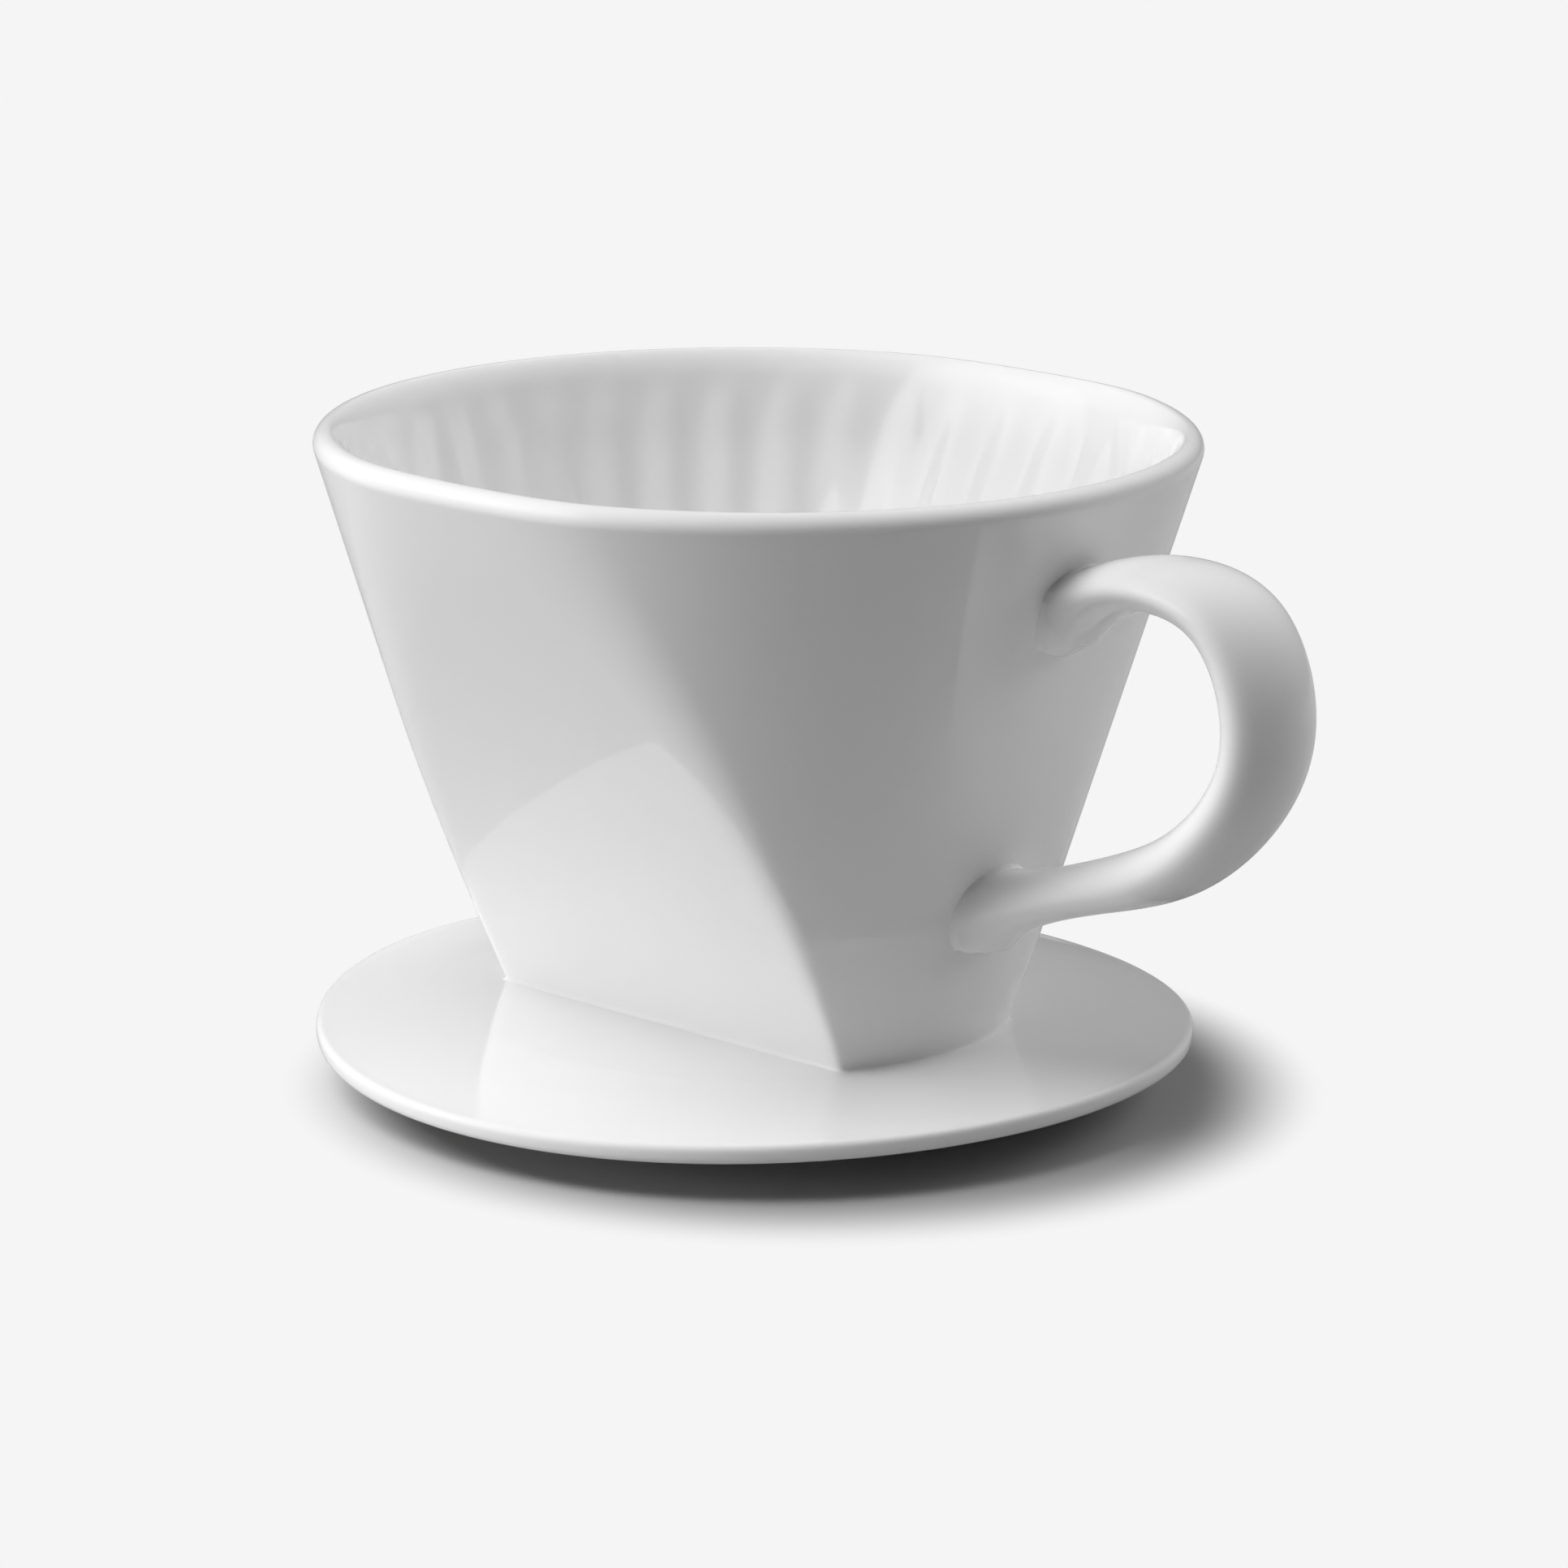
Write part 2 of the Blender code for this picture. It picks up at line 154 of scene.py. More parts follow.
# Studio
WHITE = "#FFFFFF"
BACKGROUND = "#F5F5F5"
FLOOR_TONE = "#A8A8A8"
FLOOR_SIZE = 6.0
SHADOW_SHIFT = 9.0 * MM         # the light from the left pushes the shadow to the right
SHADOW_START = 54.0 * MM        # distance from the shadow's middle at which it begins to fade
SHADOW_END = 72.0 * MM
FILL = 0.08                     # strength of the even surround
MIRRORED_ROOM = 0.15            # share of the pale background that shows in the glaze
LAMP_DISTANCE = 1.2
LAMP_MIDDLE = (0.5, 0.5, 0.0)   # in shares of the lamp's width and height
LAMP_EDGE = 0.5
LAMP_STEADY = 0.1               # distance from the lamp's middle out to which it is at full strength
WINDOW_STEADY = 0.44

# Camera, as the photograph was taken, with angles in radians
IMAGE_SIZE = 1932
CAMERA_TURN = -0.8267           # from the handle's direction, about the bowl's axis
CAMERA_ELEVATION = 0.2409
CAMERA_ROLL = 0.0065
CAMERA_DISTANCE = 805.2 * MM
FOCAL_PIXELS = 7292.7
TARGET_HEIGHT = 40.0 * MM       # above the bowl's foot
TARGET_PIXEL = (932.1, 880.2)
SENSOR = 36.0                   # millimetres, as the lens is given
CLIP_END = 20.0

# Rows and columns of the grids
RIB_COLUMNS = 12
COLUMNS = RIB_COUNT * RIB_COLUMNS
TURN_STEPS = 360
EDGE_ROWS = 5
FOOT_COVE_ROWS = 8
WALL_OUT_ROWS = 62
RIM_OUT_ROWS = 19
RIM_IN_ROWS = 15
WALL_IN_ROWS = 84
FILLET_ROWS = 9
DRAIN_EDGE_ROWS = 7
DRAIN_COLUMNS = 48
SLOPE_ROWS = 24
SAUCER_EDGE_ROWS = 33
UNDERSIDE_ROWS = 16
RING_EDGE_ROWS = 6
RING_SIDE_ROWS = 10
HANDLE_ROWS = 221
HANDLE_COLUMNS = 96
HANDLE_CROWDING = 0.11          # how much closer the rows lie at the handle's ends
# Rows on the level faces, as shares of the way out
SPIGOT_SHARES = (0.02, 0.35, 0.7)
FLOOR_SHARES = (0.85, 0.6, 0.35, 0.1)
SEAT_SHARES = (0.3, 0.65)
RECESS_SHARES = (1.0, 0.6, 0.25)

# Slopes of the wall
CONE_LEAN = math.atan((RIM_RADIUS - FOOT_END_RADIUS) / (BOWL_HEIGHT - RIM_ROLL))
FACET_LEAN = math.atan((RIM_RADIUS - FOOT_HALF_WIDTH) / (BOWL_HEIGHT - RIM_ROLL))


def blend(low, high, x):
    """Smooth step: 0 below low, 1 above high, and 3t^2 - 2t^3 between."""
    t = np.clip((x - low) / (high - low), 0.0, 1.0)
    return t * t * (3 - 2 * t)


def column(values):
    """A row of values as a column, so that it spreads over a grid's rows."""
    return np.asarray(values, float).reshape(-1, 1)


def ring_index(rows, columns, wrap):
    """Corner numbers of the grid's four-sided faces, columns always joined round, rows joined if wrap."""
    row = np.arange(rows if wrap else rows - 1).reshape(-1, 1)
    step = np.arange(columns).reshape(1, -1)
    after = (step + 1) % columns
    above = (row + 1) % rows
    corners = (row * columns + step, row * columns + after, above * columns + after, above * columns + step)
    return np.stack(corners, -1).reshape(-1, 4)


def skin(name, x, y, z, wrap=False):
    """Closed mesh over a grid of points. Rows join end to end if wrap, and otherwise each end has a cap,
    a fan to the mean of its row. Faces are turned round if the enclosed volume comes out negative."""
    points = np.stack(np.broadcast_arrays(x, y, z), -1)
    rows, columns = points.shape[:2]
    verts = points.reshape(-1, 3)
    quads = ring_index(rows, columns, wrap)
    faces = quads.tolist()
    if not wrap:
        step = np.arange(columns)
        after = (step + 1) % columns
        first = np.full(columns, rows * columns)
        last = first + 1
        base = (rows - 1) * columns
        low_cap = np.stack([after, step, first], -1)
        high_cap = np.stack([base + step, base + after, last], -1)
        verts = np.vstack([verts, points[0].mean(0), points[-1].mean(0)])
        faces += low_cap.tolist() + high_cap.tolist()
    a, b, c, d = (verts[quads[:, k]] for k in range(4))
    volume = np.einsum("ij,ij->", a, np.cross(b, c)) + np.einsum("ij,ij->", a, np.cross(c, d))
    if volume < 0:
        faces = [face[::-1] for face in faces]
    mesh = bpy.data.meshes.new(name)
    mesh.from_pydata(verts.tolist(), [], faces)
    mesh.shade_smooth()
    obj = bpy.data.objects.new(name, mesh)
    bpy.context.scene.collection.objects.link(obj)
    return obj


def cone_radius(height):
    """Radius of the round ends: a straight line from the foot to where the rim's roll begins."""
    top = BOWL_HEIGHT - RIM_ROLL - RIM_ROLL * math.sin(CONE_LEAN)
    reach = RIM_RADIUS - RIM_ROLL + RIM_ROLL * math.cos(CONE_LEAN)
    return FOOT_END_RADIUS + (reach - FOOT_END_RADIUS) * height / top


def facet_half_width(height):
    """Half the width across the flat sides: foot + rise * level^1.05."""
    level = np.clip(height / (BOWL_HEIGHT - RIM_ROLL), 0.0, 1.0)
    return FOOT_HALF_WIDTH + (RIM_RADIUS - FACET_INSET - FOOT_HALF_WIDTH) * level ** FACET_CURVE


def section_angle(share, ends, sides):
    """Angle at a share of the way round a section with round ends and flat sides.

    A quarter is an arc of radius ends and then a straight line at y = sides; the share walks along both at
    an even pace."""
    quarter = np.floor(share * 4)
    local = share * 4 - quarter
    local = np.where(quarter % 2 == 1, 1 - local, local)
    corner = np.arcsin(np.clip(sides / ends, 0.0, 1.0))
    arc = ends * corner
    walk = local * (arc + ends * np.cos(corner))
    flat = np.arctan2(sides, np.maximum(ends * np.cos(corner) - (walk - arc), 0.0))
    angle = np.where(walk < arc, walk / ends, flat)
    return np.where(quarter % 2 == 1, math.pi - angle, angle) + np.where(quarter >= 2, math.pi, 0.0)


def section_radius(angle, ends, sides, soft):
    """Radius of the section: the smaller of a circle and a flat at y = sides, less
    (soft - difference)^2 / 4 soft where the two come within soft of each other."""
    across = sides / np.maximum(np.abs(np.sin(angle)), TINY)
    close = np.maximum(soft - np.abs(ends - across), 0.0)
    return np.minimum(ends, across) - close ** 2 / (4 * soft)


def outer_radius(angle, height):
    """Outer face of the wall. The crease between end and side softens evenly from the foot to the rim."""
    soft = CREASE_SOFT + (CREASE_SOFT_TOP - CREASE_SOFT) * np.clip(height / BOWL_HEIGHT, 0.0, 1.0)
    return section_radius(angle, cone_radius(height), facet_half_width(height), soft)


def inner_ends(height):
    """Radius of the inner face at the round ends, one wall thickness in."""
    return cone_radius(height) - WALL / math.cos(CONE_LEAN)


def inner_sides(height):
    """Half the width between the inner faces of the flat sides, one wall thickness in."""
    return facet_half_width(height) - WALL / math.cos(FACET_LEAN)


def inner_radius(angle, height):
    """Inner face of the wall, without its ribs. It swells inwards by a smooth step towards the rim."""
    swell = RIM_SWELL * blend(BOWL_HEIGHT - RIM_SWELL_DEPTH, BOWL_HEIGHT, height)
    return section_radius(angle, inner_ends(height), inner_sides(height), CORNER_SOFT) - swell


def oval_radius(angle, half_length, half_width):
    """Distance from the middle to an oval with straight sides and round ends."""
    centre = half_length - half_width
    across = np.abs(np.sin(angle))
    along = np.abs(np.cos(angle))
    root = np.sqrt(np.maximum(half_width ** 2 - (centre * across) ** 2, 0.0))
    straight = half_width / np.maximum(across, TINY)
    return np.where(across * centre >= half_width * along, straight, centre * along + root)


def cove(height, radius):
    """How far a hollow quarter round of that radius stands out at a height above the face that it meets."""
    rest = np.clip(radius - height, 0.0, radius)
    return radius - np.sqrt(radius ** 2 - rest ** 2)


def rib_rise(share, height):
    """Height of the paper ribs: cos^2 across each rib, with an even pitch round the bowl.

    Each rib narrows and sinks into the wall towards the rim, and fades out at the floor."""
    phase = np.abs((share * RIB_COUNT) % 1.0 - 0.5)
    top = BOWL_HEIGHT - RIB_TOP_DROP
    low = FLOOR_THICKNESS + FLOOR_FILLET
    along = blend(0.0, RIB_RUN_IN, top - height) * blend(0.0, RIB_RUN_IN / 2, height - low)
    width = RIB_NARROW + (RIB_FULL - RIB_NARROW) * along
    return RIB_HEIGHT * along * np.cos(np.clip(phase / width, 0.0, 1.0) * math.pi / 2) ** 2


def bowl_outside(share):
    """Rows from the middle of the spigot, out under the foot and up the outer wall to the rim's roll."""
    angle = section_angle(share, cone_radius(0.0), facet_half_width(0.0))
    wall = outer_radius(angle, 0.0)
    spigot = oval_radius(angle, OPENING_HALF_LENGTH, OPENING_HALF_WIDTH) - JOINT_GAP
    turn = column(np.linspace(0.0, math.pi / 2, EDGE_ROWS))
    base = SPIGOT_BASE - FOOT
    edge = spigot - EDGE_SOFT * (1 - np.sin(turn))
    under = [
        (angle, spigot * column(SPIGOT_SHARES), base),
        (angle, edge, base + EDGE_SOFT * (1 - np.cos(turn))),
        (angle, np.vstack([spigot, (spigot + wall) / 2, wall + COVE_EDGE]), -JOINT_GAP - SINK),
    ]
    foot = FOOT_COVE * column(np.linspace(0.0, 1.0, FOOT_COVE_ROWS)) ** 2 - JOINT_GAP
    rise = np.linspace(WALL_START, BOWL_HEIGHT - RIM_DEPTH_OUT, WALL_OUT_ROWS)[:-1]
    heights = np.vstack([foot, column(rise)])
    angles = section_angle(share, cone_radius(heights), facet_half_width(heights))
    radii = outer_radius(angles, heights) + cove(heights + JOINT_GAP, FOOT_COVE)
    return under + [(angles, radii, heights)]


def rim_roll(share):
    """Rows over the rim: a round edge along the outer wall, and a quarter ellipse inside the crest.

    The round edge turns from the wall's own lean up to level. From the crest, the ellipse falls by
    depth * (1 - sin) while it goes in by its half width * cos, and leans with the wall. The lean is
    measured over the last millimetre of the wall."""
    start = BOWL_HEIGHT - RIM_DEPTH_OUT
    angle = section_angle(share, cone_radius(start), facet_half_width(start))
    outer = outer_radius(angle, start)
    slope = (outer - outer_radius(angle, start - MM)) / MM
    lean = np.arctan(slope)
    tangent = RIM_DEPTH_OUT - RIM_ROUND * (1 + np.sin(lean))
    crest = outer + slope * tangent - RIM_ROUND * np.cos(lean)
    turn = -lean + (math.pi / 2 + lean) * column(np.linspace(0.0, 1.0, RIM_OUT_ROWS)[:-1])
    edge = crest + RIM_ROUND * np.cos(turn)
    edge_height = BOWL_HEIGHT - RIM_ROUND * (1 - np.sin(turn))
    half = crest - slope * RIM_DEPTH_IN - inner_radius(angle, BOWL_HEIGHT - RIM_DEPTH_IN)
    turn = column(np.linspace(0.5, 1.0, RIM_IN_ROWS)[:-1] * math.pi)
    fall = RIM_DEPTH_IN * (1 - np.sin(turn))
    inside = crest - slope * fall + half * np.cos(turn)
    return [(angle, outer, start), (angle, edge, edge_height), (angle, inside, BOWL_HEIGHT - fall)]


def bowl_inside(share):
    """Rows from the rim's roll down the ribbed inner wall, round the floor's fillet and in to the middle."""
    low = FLOOR_THICKNESS + FLOOR_FILLET
    heights = column(np.linspace(BOWL_HEIGHT - RIM_DEPTH_IN, low, WALL_IN_ROWS))
    angles = section_angle(share, inner_ends(heights), inner_sides(heights))
    inside = [(angles, inner_radius(angles, heights) - rib_rise(share, heights), heights)]
    turn = column(np.linspace(0.0, math.pi / 2, FILLET_ROWS)[1:])
    fall = low - FLOOR_FILLET * np.sin(turn)
    angles = section_angle(share, inner_ends(fall), inner_sides(fall))
    radii = inner_radius(angles, fall) - FLOOR_FILLET * (1 - np.cos(turn))
    inside.append((angles, radii, fall))
    inside.append((angles[-1:], radii[-1:] * column(FLOOR_SHARES), FLOOR_THICKNESS))
    return inside


def stack(blocks, columns):
    """Blocks of rows given as angle, radius and height, laid one after another as x, y and height."""
    parts = [np.broadcast_arrays(*block, np.zeros((1, columns))) for block in blocks]
    angle, radius, height = (np.vstack([part[k] for part in parts]) for k in range(3))
    return AXIS_X + radius * np.cos(angle), radius * np.sin(angle), height


def drain_cutter():
    """A row of spools along X: holes of steady radius, with a small round flare at each end."""
    low = SPIGOT_BASE - FOOT
    high = FLOOR_THICKNESS
    turn = np.linspace(0.0, math.pi / 2, DRAIN_EDGE_ROWS)
    flare = DRAIN_RADIUS + EDGE_SOFT * (1 - np.sin(turn))
    rise = EDGE_SOFT * (1 - np.cos(turn))
    radius = column(np.concatenate([[flare[0]], flare, flare[::-1], [flare[0]]]))
    height = column(np.concatenate([[low - CUT_PAST], low + rise, high - rise[::-1], [high + CUT_PAST]]))
    angle = np.linspace(0.0, 2 * math.pi, DRAIN_COLUMNS, endpoint=False).reshape(1, -1)
    spools = []
    for k in range(DRAIN_COUNT):
        x = AXIS_X + (k - (DRAIN_COUNT - 1) / 2) * DRAIN_PITCH + radius * np.cos(angle)
        spools.append(skin("drain_spool", x, radius * np.sin(angle), FOOT + height))
    return spools


def cut(obj, cutters):
    """Takes the cutters out of a piece, then removes them."""
    for cutter in cutters:
        modifier = obj.modifiers.new("drain", 'BOOLEAN')
        modifier.operation = 'DIFFERENCE'
        modifier.solver = 'EXACT'
        modifier.object = cutter
    graph = bpy.context.evaluated_depsgraph_get()
    mesh = bpy.data.meshes.new_from_object(obj.evaluated_get(graph))
    obj.modifiers.clear()
    obj.data = mesh
    mesh.shade_smooth()
    for cutter in cutters:
        bpy.data.objects.remove(cutter, do_unlink=True)


def porcelain_bowl():
    """Bowl: one closed skin from the spigot over the rim to the floor, with the drain holes cut through."""
    share = (np.arange(COLUMNS) / COLUMNS).reshape(1, -1)
    blocks = bowl_outside(share) + rim_roll(share) + bowl_inside(share)
    x, y, height = stack(blocks, COLUMNS)
    bowl = skin("porcelain_bowl", x, y, FOOT + height)
    cut(bowl, drain_cutter())
    return bowl


def porcelain_saucer():
    """Saucer: a closed section carried round the axis, with an oval opening in the middle.

    The section runs from the opening over the level seat, down the slope t^1.3, round the edge and back
    underneath to the ring's recess. The edge goes out by cos^0.7 and up by sin^0.7. It is lifted by
    warp * cos(2 angle), growing from the level part as a square."""
    angle = np.linspace(0.0, 2 * math.pi, TURN_STEPS, endpoint=False).reshape(1, -1)
    thick = SAUCER_THICKNESS
    opening = oval_radius(angle, OPENING_HALF_LENGTH, OPENING_HALF_WIDTH)
    start = FOOT_END_RADIUS + SEAT_MARGIN
    bead = SAUCER_EDGE / 2
    end = SAUCER_RADIUS - bead
    turn = column(np.linspace(0.0, math.pi / 2, EDGE_ROWS))
    lip = opening + EDGE_SOFT * (1 - np.cos(turn))
    lip_rise = EDGE_SOFT * np.sin(turn)
    share = column(np.linspace(0.0, 1.0, SLOPE_ROWS))
    slope = start + (end - start) * share
    round_edge = column(np.linspace(math.pi / 2, -math.pi / 2, SAUCER_EDGE_ROWS)[1:-1])
    lip_out = bead * np.cos(round_edge) ** SAUCER_LIP
    lip_up = bead * np.sign(round_edge) * np.abs(np.sin(round_edge)) ** SAUCER_LIP
    back = column(np.linspace(end, RING_RADIUS, UNDERSIDE_ROWS))
    seat = opening + (start - opening) * column(SEAT_SHARES)
    recess = opening + (RING_RADIUS - opening) * column(RECESS_SHARES)
    blocks = [
        (lip, thick - EDGE_SOFT + lip_rise),
        (seat, np.full((len(SEAT_SHARES), 1), thick)),
        (slope, thick - (thick - SAUCER_EDGE) * share ** SAUCER_SLOPE),
        (end + lip_out, bead + lip_up),
        (back, np.zeros((UNDERSIDE_ROWS, 1))),
        (recess, np.full((len(RECESS_SHARES), 1), RING_SEAT)),
        (lip[::-1], RING_SEAT + EDGE_SOFT - lip_rise[::-1]),
    ]
    radius = np.vstack([np.broadcast_to(block[0], (len(block[1]), TURN_STEPS)) for block in blocks])
    height = np.vstack([block[1] for block in blocks])
    lift = SAUCER_WARP * np.maximum((radius - WARP_START) / (SAUCER_RADIUS - WARP_START), 0.0) ** 2
    z = UNDERSIDE + height + lift * np.cos(2 * angle)
    return skin("porcelain_saucer", AXIS_X + radius * np.cos(angle), radius * np.sin(angle), z, wrap=True)


def bare_ring():
    """Locating ring: a tapered section carried round the axis, with soft corners and a cove at the saucer."""
    angle = np.linspace(0.0, 2 * math.pi, TURN_STEPS, endpoint=False).reshape(1, -1)
    top = UNDERSIDE + SINK
    turn = np.linspace(0.0, math.pi / 2, RING_EDGE_ROWS)
    inner = RING_RADIUS - RING_WIDTH
    outer_foot = RING_RADIUS - RING_TAPER
    inner_foot = inner + RING_TAPER
    corner = RING_SOFT * (1 - np.sin(turn))
    corner_rise = RING_SOFT * (1 - np.cos(turn))
    climb = np.linspace(0.0, 1.0, RING_SIDE_ROWS)[1:]
    rise = RING_SOFT + (top - RING_SOFT) * climb
    join = cove(top - rise, FOOT_COVE)
    radius = column(np.concatenate([
        outer_foot - corner,
        outer_foot + RING_TAPER * climb + join,
        (inner_foot - RING_TAPER * climb - join)[::-1],
        (inner_foot + corner)[::-1],
    ]))
    height = column(np.concatenate([corner_rise, rise, rise[::-1], corner_rise[::-1]]))
    x = AXIS_X + radius * np.cos(angle)
    return skin("bare_locating_ring", x, radius * np.sin(angle), height, wrap=True)


def smooth_curve(knots, steps):
    """Values and slopes on a cubic curve through the knots, with bends that join without a jump.

    The second derivatives solve m[k-1] + 4 m[k] + m[k+1] = 6 (p[k+1] - 2 p[k] + p[k-1]), 0 at both ends."""
    count = len(knots)
    system = np.eye(count)
    right = np.zeros_like(knots)
    inner = np.arange(1, count - 1)
    system[inner, inner] = 4
    system[inner, inner - 1] = 1
    system[inner, inner + 1] = 1
    right[1:-1] = 6 * (knots[2:] - 2 * knots[1:-1] + knots[:-2])
    bend = np.linalg.solve(system, right)
    place = np.asarray(steps, float)
    k = np.minimum(place.astype(int), count - 2)
    t = (place - k).reshape(-1, 1)
    a, b = knots[k], knots[k + 1]
    m, n = bend[k], bend[k + 1]
    value = a + (b - a - (2 * m + n) / 6) * t + m / 2 * t ** 2 + (n - m) / 6 * t ** 3
    slope = b - a - (2 * m + n) / 6 + m * t + (n - m) / 2 * t ** 2
    return value, slope


def handle_line():
    """Rows along the handle: its middle line's x and height, half thickness, half width, and the two slopes.

    The line is a smooth curve through the knots, with rows at way - crowding * sin(2 pi way). Near the wall
    each end flares by a share * exp(-distance from the wall / length)."""
    reach, level, thick, wide = HANDLE_KNOTS.T
    height = HANDLE_FOOT_HEIGHT + level * (BOWL_HEIGHT - HANDLE_TOP_DEPTH - HANDLE_FOOT_HEIGHT)
    out = cone_radius(height) + reach * HANDLE_REACH
    knots = np.stack([out, height, thick * HANDLE_THICKNESS / 2, wide * HANDLE_WIDTH / 2], -1)
    spans = len(knots) - 1
    way = np.linspace(0.0, 1.0, HANDLE_ROWS)
    place = spans * (way - HANDLE_CROWDING * np.sin(2 * math.pi * way))
    value, slope = smooth_curve(knots, place)
    x, z, thick, wide = (value[:, k:k + 1] for k in range(4))
    near = np.maximum((x - cone_radius(z)) * math.cos(CONE_LEAN), 0.0)
    upper = column(place < spans / 2)
    for end, (thicker, wider, length) in ((upper, HANDLE_TOP_FLARE), (1 - upper, HANDLE_FOOT_FLARE)):
        flare = end * np.exp(-near / length)
        thick = thick * (1 + thicker * flare)
        wide = wide * (1 + wider * flare)
    return x, z, thick, wide, slope[:, 0:1], slope[:, 1:2]


def porcelain_handle():
    """Handle: ovals square to a smooth middle line, with coves where the ends meet the bowl.

    Near the wall each point slides along the wall, away from the middle line, by the cove of its own
    distance from the wall. Points past the wall are drawn back to a thin layer inside it."""
    x, z, thick, wide, slope_x, slope_z = handle_line()
    length = np.hypot(slope_x, slope_z)
    turn = np.linspace(0.0, 2 * math.pi, HANDLE_COLUMNS, endpoint=False).reshape(1, -1)
    oval = (-slope_z / length * np.cos(turn), np.sin(turn), slope_x / length * np.cos(turn))
    out = np.stack(np.broadcast_arrays(*oval), -1)
    px = x + thick * out[..., 0]
    py = wide * out[..., 1]
    pz = z + thick * out[..., 2]
    angle = np.arctan2(py, px)
    level = math.cos(CONE_LEAN)
    down = np.full_like(angle, -math.sin(CONE_LEAN))
    wall = np.stack([np.cos(angle) * level, np.sin(angle) * level, down], -1)
    gap = (np.hypot(px, py) - cone_radius(pz)) * level
    along = out - wall * np.sum(out * wall, -1, keepdims=True)
    along /= np.maximum(np.linalg.norm(along, axis=-1, keepdims=True), TINY)
    slide = cove(np.maximum(gap, 0.0), HANDLE_COVE)
    back = np.maximum(-HANDLE_SINK - gap, 0.0)
    px = px + slide * along[..., 0] + back * wall[..., 0]
    py = py + slide * along[..., 1] + back * wall[..., 1]
    pz = pz + slide * along[..., 2] + back * wall[..., 2]
    return skin("porcelain_handle", AXIS_X + px, py, FOOT + pz)


def linear(code):
    """Linear colour of an sRGB hex code: c / 12.92 up to 0.04045, and ((c + 0.055) / 1.055)^2.4 above."""
    values = np.array([int(code[k:k + 2], 16) for k in (1, 3, 5)]) / 255
    values = np.where(values <= 0.04045, values / 12.92, ((values + 0.055) / 1.055) ** 2.4)
    return (*values.tolist(), 1.0)


def add(tree, kind, settings=None, links=None, **values):
    """Adds a node: attribute settings, socket values by name, and links from other nodes' sockets."""
    node = tree.nodes.new(kind)
    for key, value in (settings or {}).items():
        setattr(node, key, value)
    for key, value in values.items():
        node.inputs[key.replace("_", " ")].default_value = value
    for key, source in (links or {}).items():
        tree.links.new(source, node.inputs[key])
    return node


def new_material(name):
    """A new material, its node tree, and the Object coordinates that its patterns are laid on."""
    material = bpy.data.materials.new(name)
    material.use_nodes = True
    tree = material.node_tree
    tree.nodes.clear()
    place = add(tree, "ShaderNodeTexCoord").outputs["Object"]
    return material, tree, place


def glazed_porcelain():
    """Slip-cast porcelain under a clear glaze: a plain white body below a smooth glassy skin.

    The glaze pools a little, so its tone and gloss drift over a few centimetres and reflections waver."""
    material, tree, place = new_material("glazed_porcelain")
    drift = add(tree, "ShaderNodeTexNoise", links={"Vector": place}, Scale=1 / GLAZE_POOL, Detail=2.0)
    tone = add(tree, "ShaderNodeMix", {"data_type": 'RGBA'}, {"Factor": drift.outputs["Fac"]})
    tone.inputs[MIX_A].default_value = linear(GLAZE_TONES[0])
    tone.inputs[MIX_B].default_value = linear(GLAZE_TONES[1])
    gloss = add(tree, "ShaderNodeMapRange", links={"Value": drift.outputs["Fac"]},
                To_Min=GLAZE_ROUGHNESS[0], To_Max=GLAZE_ROUGHNESS[1])
    waver = add(tree, "ShaderNodeTexNoise", links={"Vector": place}, Scale=1 / GLAZE_WAVE, Detail=1.0)
    bump = add(tree, "ShaderNodeBump", links={"Height": waver.outputs["Fac"]},
               Strength=0.5, Distance=GLAZE_WAVE_HEIGHT)
    shader = add(tree, "ShaderNodeBsdfPrincipled", links={
        "Base Color": tone.outputs[MIX_RESULT],
        "Roughness": gloss.outputs["Result"],
        "Normal": bump.outputs["Normal"],
    }, IOR=GLAZE_IOR)
    add(tree, "ShaderNodeOutputMaterial", links={"Surface": shader.outputs["BSDF"]})
    return material


def bare_porcelain():
    """Fired porcelain wiped clean of glaze: warmer, dull, with a fine dry grit."""
    material, tree, place = new_material("bare_porcelain")
    grit = add(tree, "ShaderNodeTexNoise", links={"Vector": place}, Scale=1 / BARE_GRIT, Detail=3.0)
    tone = add(tree, "ShaderNodeMix", {"data_type": 'RGBA'}, {"Factor": grit.outputs["Fac"]})
    tone.inputs[MIX_A].default_value = linear(BARE_TONES[0])
    tone.inputs[MIX_B].default_value = linear(BARE_TONES[1])
    bump = add(tree, "ShaderNodeBump", links={"Height": grit.outputs["Fac"]},
               Strength=0.4, Distance=BARE_GRIT_HEIGHT)
    shader = add(tree, "ShaderNodeBsdfPrincipled", links={
        "Base Color": tone.outputs[MIX_RESULT],
        "Normal": bump.outputs["Normal"],
    }, Roughness=BARE_ROUGHNESS, IOR=BARE_IOR)
    add(tree, "ShaderNodeOutputMaterial", links={"Surface": shader.outputs["BSDF"]})
    return material


def seen(tree):
    """Share of a ray that meets the pale background: 1 for camera and transmitted rays, and a smaller share
    for mirrored ones, because the glaze in the photograph mirrors a dim room."""
    ray = add(tree, "ShaderNodeLightPath")
    both = add(tree, "ShaderNodeMath", {"operation": 'MULTIPLY_ADD'},
               {0: ray.outputs["Is Glossy Ray"], 2: ray.outputs["Is Camera Ray"]})
    both.inputs[1].default_value = MIRRORED_ROOM
    every = add(tree, "ShaderNodeMath", {"operation": 'ADD', "use_clamp": True},
                {0: both.outputs["Value"], 1: ray.outputs["Is Transmission Ray"]})
    return every.outputs["Value"]


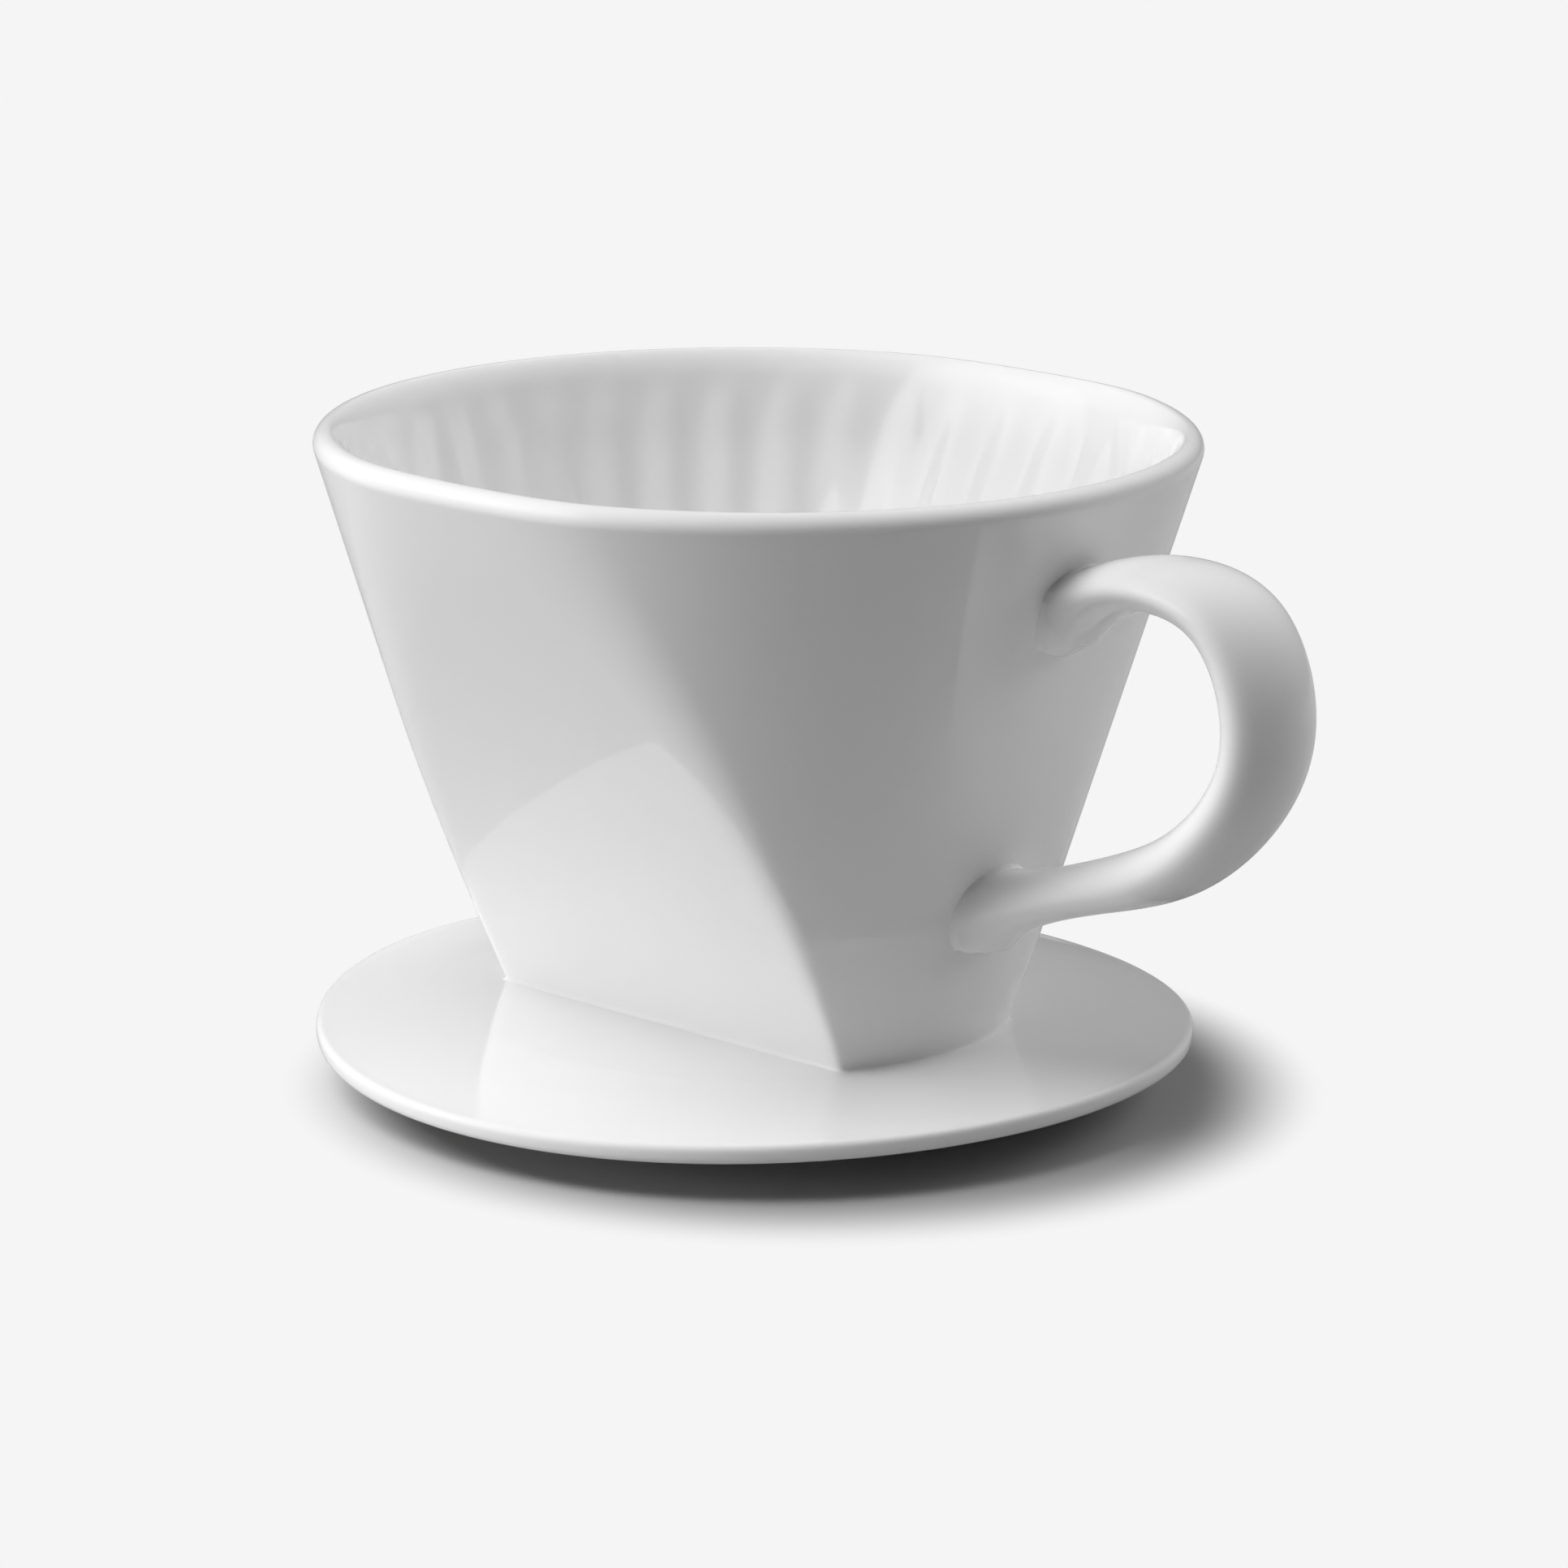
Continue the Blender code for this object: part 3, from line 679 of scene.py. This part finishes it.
def studio_floor():
    """Plain floor. Beyond the shadow it shows one even pale tone."""
    bpy.ops.mesh.primitive_plane_add(size=FLOOR_SIZE)
    floor = bpy.context.object
    floor.name = "floor"
    material, tree, place = new_material("pale_floor")
    diffuse = add(tree, "ShaderNodeBsdfDiffuse", Color=linear(FLOOR_TONE))
    glow = add(tree, "ShaderNodeEmission", Color=linear(BACKGROUND), Strength=1.0)
    far = add(tree, "ShaderNodeVectorMath", {"operation": 'DISTANCE'}, {0: place})
    far.inputs[1].default_value = (AXIS_X + SHADOW_SHIFT, 0.0, 0.0)
    fade = add(tree, "ShaderNodeMapRange", {"interpolation_type": 'SMOOTHSTEP'},
               {"Value": far.outputs["Value"]}, From_Min=SHADOW_START, From_Max=SHADOW_END)
    even = add(tree, "ShaderNodeMath", {"operation": 'MULTIPLY'},
               {0: seen(tree), 1: fade.outputs["Result"]})
    surface = add(tree, "ShaderNodeMixShader", links={
        0: even.outputs["Value"], 1: diffuse.outputs["BSDF"], 2: glow.outputs["Emission"]})
    add(tree, "ShaderNodeOutputMaterial", links={"Surface": surface.outputs["Shader"]})
    floor.data.materials.append(material)


def studio_world():
    """Dim even surround that fills the shadows, seen as the pale background."""
    world = bpy.data.worlds.new("studio")
    bpy.context.scene.world = world
    world.use_nodes = True
    tree = world.node_tree
    tree.nodes.clear()
    fill = add(tree, "ShaderNodeBackground", Color=linear(WHITE), Strength=FILL)
    pale = add(tree, "ShaderNodeBackground", Color=linear(BACKGROUND), Strength=1.0)
    surface = add(tree, "ShaderNodeMixShader", links={
        0: seen(tree), 1: fill.outputs["Background"], 2: pale.outputs["Background"]})
    add(tree, "ShaderNodeOutputWorld", links={"Surface": surface.outputs["Shader"]})


def softbox(name, azimuth, elevation, width, height, power, steady=LAMP_STEADY, mirrored=False):
    """Oval soft lamp, aimed at the middle of the bowl. Azimuth is in degrees from the -Y side, towards +X.

    Its strength is steady out to a share of its width, and falls from there to nothing at the edge by a
    smooth step. What the glaze mirrors is a lamp of its own, dimmer than those that light the piece, because
    a photograph holds back its brightest tones."""
    middle = Vector((AXIS_X, 0.0, (FOOT + RIM_TOP) / 2))
    a = math.radians(azimuth)
    e = math.radians(elevation)
    away = Vector((math.sin(a) * math.cos(e), -math.cos(a) * math.cos(e), math.sin(e)))
    data = bpy.data.lights.new(name, 'AREA')
    data.shape = 'RECTANGLE'
    data.size = width
    data.size_y = height
    data.energy = power
    data.use_nodes = True
    tree = data.node_tree
    tree.nodes.clear()
    place = add(tree, "ShaderNodeNewGeometry").outputs["Parametric"]
    far = add(tree, "ShaderNodeVectorMath", {"operation": 'DISTANCE'}, {0: place})
    far.inputs[1].default_value = LAMP_MIDDLE
    soft = add(tree, "ShaderNodeMapRange", {"interpolation_type": 'SMOOTHSTEP'},
               {"Value": far.outputs["Value"]}, From_Min=steady, From_Max=LAMP_EDGE, To_Min=1.0, To_Max=0.0)
    glow = add(tree, "ShaderNodeEmission", links={"Strength": soft.outputs["Result"]})
    add(tree, "ShaderNodeOutputLight", links={"Surface": glow.outputs["Emission"]})
    lamp = bpy.data.objects.new(name, data)
    bpy.context.scene.collection.objects.link(lamp)
    lamp.location = middle + away * LAMP_DISTANCE
    lamp.rotation_euler = away.to_track_quat('Z', 'Y').to_euler()
    lamp.visible_glossy = mirrored
    lamp.visible_diffuse = not mirrored


def photo_camera():
    """Camera round the bowl's axis, turned so that the target falls on its pixel."""
    data = bpy.data.cameras.new("camera")
    data.sensor_width = SENSOR
    data.lens = FOCAL_PIXELS / IMAGE_SIZE * SENSOR
    camera = bpy.data.objects.new("camera", data)
    bpy.context.scene.collection.objects.link(camera)
    away = Vector((math.cos(CAMERA_TURN) * math.cos(CAMERA_ELEVATION),
                   math.sin(CAMERA_TURN) * math.cos(CAMERA_ELEVATION), math.sin(CAMERA_ELEVATION)))
    right = Vector((-math.sin(CAMERA_TURN), math.cos(CAMERA_TURN), 0.0))
    basis = Matrix((right, away.cross(right), away)).transposed()
    yaw = math.atan((TARGET_PIXEL[0] - IMAGE_SIZE / 2) / FOCAL_PIXELS)
    pitch = math.atan((TARGET_PIXEL[1] - IMAGE_SIZE / 2) / FOCAL_PIXELS)
    turn = Matrix.Rotation(yaw, 3, 'Y') @ Matrix.Rotation(pitch, 3, 'X')
    turn = turn @ Matrix.Rotation(CAMERA_ROLL, 3, 'Z')
    target = Vector((AXIS_X, 0.0, FOOT + TARGET_HEIGHT))
    place = target + away * CAMERA_DISTANCE
    camera.matrix_world = Matrix.LocRotScale(place, (basis @ turn).to_quaternion(), None)
    data.clip_end = CLIP_END
    bpy.context.scene.camera = camera


def main():
    """Makes the pieces, the studio and the camera."""
    glaze = glazed_porcelain()
    bare = bare_porcelain()
    pieces = [
        (porcelain_bowl(), "filter_bowl", "bowl_glaze", glaze),
        (porcelain_saucer(), "saucer", "saucer_glaze", glaze),
        (porcelain_handle(), "handle", "handle_glaze", glaze),
        (bare_ring(), "locating_ring", "foot_biscuit", bare),
    ]
    for piece, node, slot, material in pieces:
        piece.data.materials.clear()
        piece.data.materials.append(material)
        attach(piece, "root")
        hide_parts(node)
    studio_floor()
    studio_world()
    softbox("left_softbox", azimuth=-46, elevation=3, width=1.3, height=0.5, power=32)
    softbox("overhead_softbox", azimuth=-25, elevation=64, width=1.4, height=1.1, power=40.5)
    softbox("right_softbox", azimuth=164, elevation=26, width=1.8, height=0.8, power=27)
    softbox("mirrored_window", azimuth=-36, elevation=28, width=1.07, height=0.8, power=2.4,
            steady=WINDOW_STEADY, mirrored=True)
    photo_camera()
    bpy.context.scene.view_settings.view_transform = 'Standard'


main()
